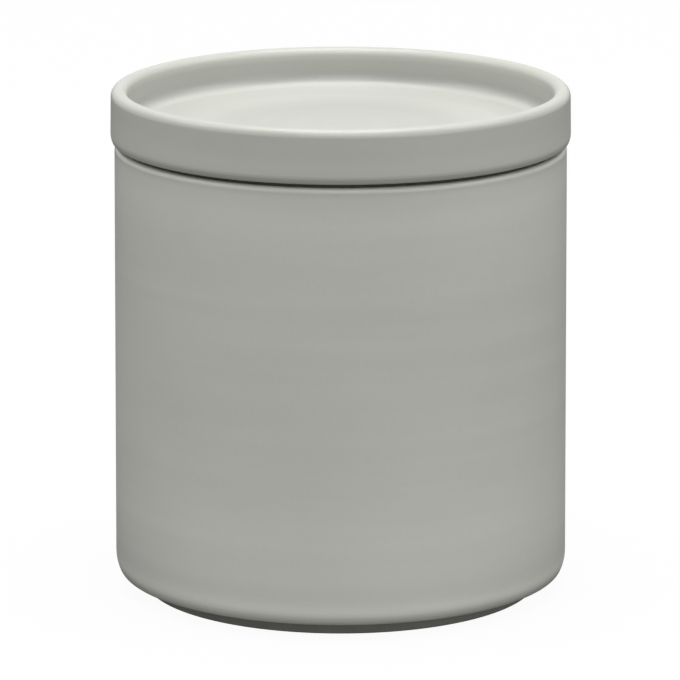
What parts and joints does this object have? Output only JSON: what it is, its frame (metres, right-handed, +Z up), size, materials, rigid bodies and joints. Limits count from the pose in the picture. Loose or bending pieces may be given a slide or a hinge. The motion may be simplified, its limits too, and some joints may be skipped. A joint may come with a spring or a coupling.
{
  "type": "cotton pad holder",
  "caption": "Round stoneware jar for cotton pads with a lift-off lid whose top is a shallow tray, sealed by a soft ring and standing on a non-slip foot ring.",
  "frame": {"origin": "centre of the base, on the surface that the jar stands on", "axes": "+Z up along the jar's axis of revolution; the object is round, so +X and +Y are free, and the picture looks along +Y"},
  "size_m": [0.1, 0.1, 0.111],
  "materials": {
    "glaze": "smooth satin glaze in a warm, slightly greenish light grey, on stoneware",
    "silicone": "matt dark grey silicone"
  },
  "bodies": {
    "jar": {"jar": "glaze", "foot_ring": "silicone"},
    "seal": {"lid_seal": "silicone"},
    "lid": {"lid": "glaze"}
  },
  "joints": [
    {"name": "lid_lift", "type": "slide", "parent": "jar", "child": "seal", "axis": [0, 0, 1], "range_m": [0, 0.14]},
    {"name": "lid_turn", "type": "hinge", "parent": "seal", "child": "lid", "pos_m": [0, 0, 0.1055], "axis": [0, 0, 1], "continuous": true}
  ]
}
